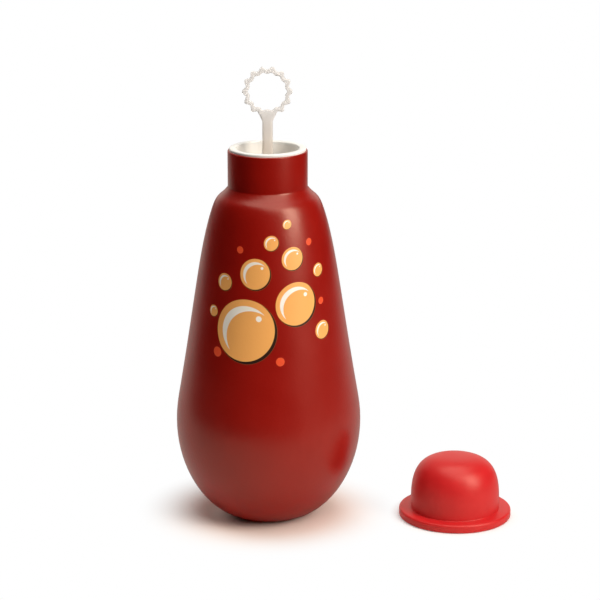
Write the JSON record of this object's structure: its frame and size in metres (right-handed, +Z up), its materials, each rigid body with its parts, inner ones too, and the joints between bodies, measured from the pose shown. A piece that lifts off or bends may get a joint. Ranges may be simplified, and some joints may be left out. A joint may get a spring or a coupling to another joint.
{
  "type": "bubble bottle",
  "caption": "Pear-shaped bubble bottle with a white-lined neck, a serrated dipping wand raised in its mouth, and a push-on bowler-hat cap standing beside it.",
  "frame": {"origin": "centre of the bottle's flat base, on the surface that it stands on", "axes": "+Z up along the bottle's axis, -Y towards the front, +X towards the cap"},
  "size_m": [0.1193, 0.0654, 0.1611],
  "materials": {
    "bottle_red": "satin dark red lacquer with a printed front",
    "liner_white": "plain moulded white",
    "soft_ring": "soft matt",
    "wand_white": "slightly translucent natural white",
    "hat_red": "satin bright red",
    "seal_white": "soft matt"
  },
  "bodies": {
    "bottle": {"bottle_shell": "bottle_red", "neck_liner": "liner_white", "wand_guide": "liner_white", "wiper_ring": "soft_ring"},
    "wand": {"bubble_wand": "wand_white"},
    "cap": {"hat_cap": "hat_red", "cap_seal": "seal_white"}
  },
  "joints": [
    {"name": "wand_slide", "type": "slide", "parent": "bottle", "child": "wand", "axis": [0, 0, 1], "range_m": [-0.024, 0.1]},
    {"name": "cap_lift", "type": "slide", "parent": "bottle", "child": "cap", "axis": [0, 0, 1], "range_m": [0, 0.15]}
  ]
}
